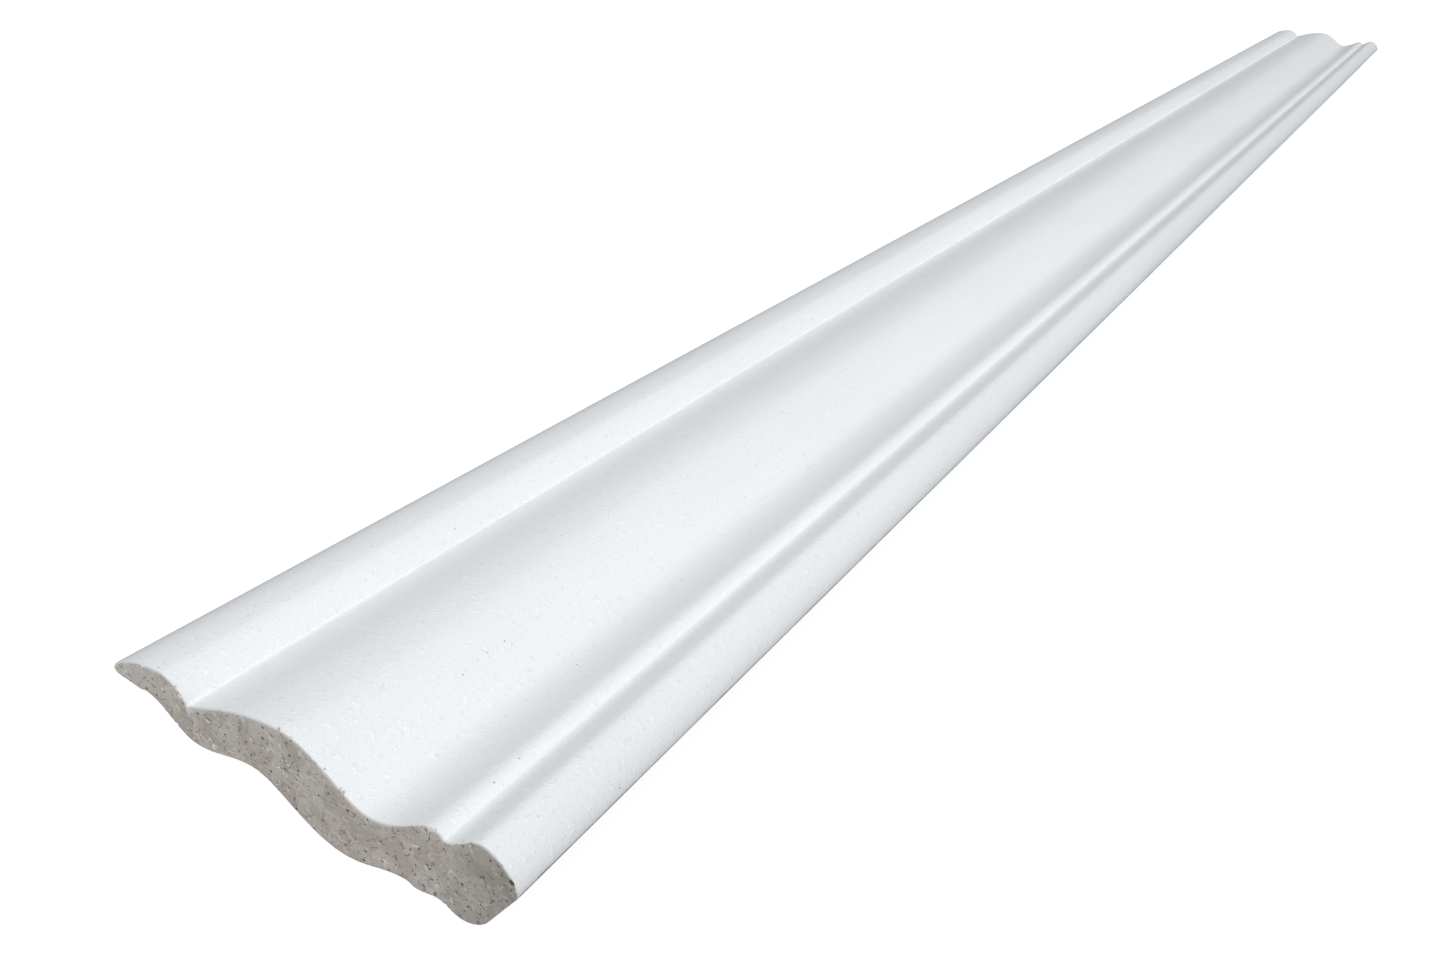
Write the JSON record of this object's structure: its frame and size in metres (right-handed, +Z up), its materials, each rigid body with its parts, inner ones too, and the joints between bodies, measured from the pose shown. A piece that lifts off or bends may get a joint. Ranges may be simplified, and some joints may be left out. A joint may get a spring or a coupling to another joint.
{
  "type": "crown moulding length",
  "caption": "Straight length of white primed crown moulding, an ovolo, cyma recta and bead section pressed in fibre composite, cut square at both ends and lying on its back.",
  "frame": {"origin": "middle of the box's base, on the surface that the length lies on, half way between the two cut ends", "axes": "+Z up out of that surface, on the moulded face's side; +Y along the length; +X across it, from the lip (wall side) to the foot (ceiling side)"},
  "size_m": [0.1424, 2, 0.0378],
  "materials": {
    "primed_fibre": "satin"
  },
  "bodies": {
    "root": {"crown_moulding": "primed_fibre"}
  },
  "joints": []
}
